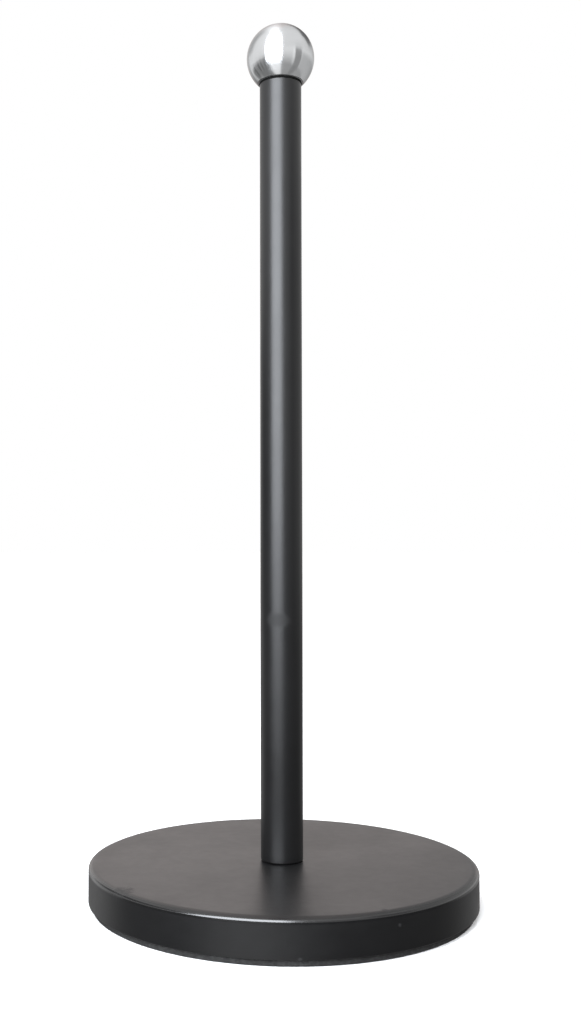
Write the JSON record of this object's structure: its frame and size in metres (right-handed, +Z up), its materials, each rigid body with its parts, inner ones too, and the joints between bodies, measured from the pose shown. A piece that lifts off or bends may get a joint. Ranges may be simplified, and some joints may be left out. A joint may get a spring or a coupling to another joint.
{
  "type": "paper towel holder",
  "caption": "Upright paper towel holder: weighted round base with a foam foot, a slim tube post bolted to it from below, and a hollow ball finial that unscrews.",
  "frame": {"origin": "centre of the foot pad's underside, on the post's axis, which is the point that stands on the table", "axes": "+Z up along the post towards the ball; the object is round, so +X and +Y are any two directions across the base"},
  "size_m": [0.146, 0.146, 0.336],
  "materials": {
    "black_powder_coat": "satin black powder coat",
    "turned_stainless": "finely turned stainless steel",
    "zinc_plate": "bright zinc plated steel",
    "cast_ballast": "rough cast",
    "foam_rubber": "matte closed-cell foam",
    "black_plastic": "matte"
  },
  "bodies": {
    "stand": {"anti_slip_pad": "foam_rubber", "bottom_plate": "zinc_plate", "ballast": "cast_ballast", "base_shell": "black_powder_coat", "post_tube": "black_powder_coat", "foot_plug": "zinc_plate", "head_plug": "zinc_plate", "base_bolt": "zinc_plate", "lock_washer": "zinc_plate", "flat_washer": "zinc_plate"},
    "washer": {"finial_washer": "black_plastic"},
    "finial": {"finial_ball": "turned_stainless", "finial_bush": "zinc_plate", "finial_stud": "zinc_plate"}
  },
  "joints": [
    {"name": "finial_lift", "type": "slide", "parent": "stand", "child": "washer", "axis": [0, 0, 1], "range_m": [0, 0.013]},
    {"name": "finial_turn", "type": "hinge", "parent": "washer", "child": "finial", "pos_m": [0, 0, 0.3135], "axis": [0, 0, 1], "range_deg": [0, 4680]}
  ],
  "couplings": [
    {"joint": "finial_lift", "follows": "finial_turn", "m_per_rad": 0.00015915}
  ]
}
